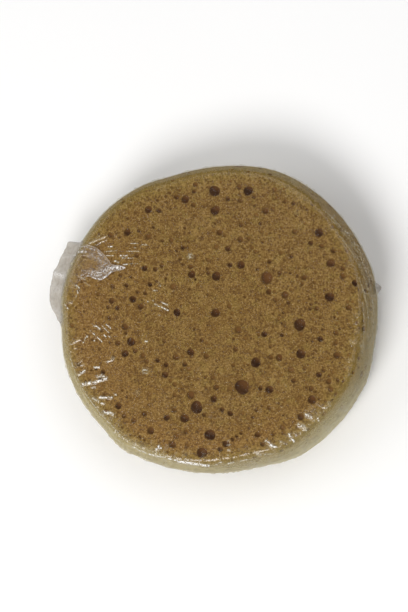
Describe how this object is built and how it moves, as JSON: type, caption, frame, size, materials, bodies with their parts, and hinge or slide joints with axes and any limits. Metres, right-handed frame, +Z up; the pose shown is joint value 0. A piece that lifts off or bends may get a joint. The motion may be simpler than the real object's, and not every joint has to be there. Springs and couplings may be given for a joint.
{
  "type": "sea sponge",
  "caption": "Round flat slab of porous sea sponge, packed tight in clear stretch film whose gathered end stands out at one side.",
  "frame": {"origin": "middle of the film's flat underside, on the surface that the slab lies on", "axes": "+Z up through the slab's thickness, out of the face with the pores; +X along its widest way, from the film's gathered tail at -X to the twisted nub at +X"},
  "size_m": [0.1255, 0.1176, 0.032],
  "materials": {
    "sponge": "matt fine crumb of fibres with round open pores",
    "film": "clear thin stretch film, glossy, creased where it is drawn over the edge"
  },
  "bodies": {
    "root": {"sponge": "sponge", "film_wrap": "film"}
  },
  "joints": []
}
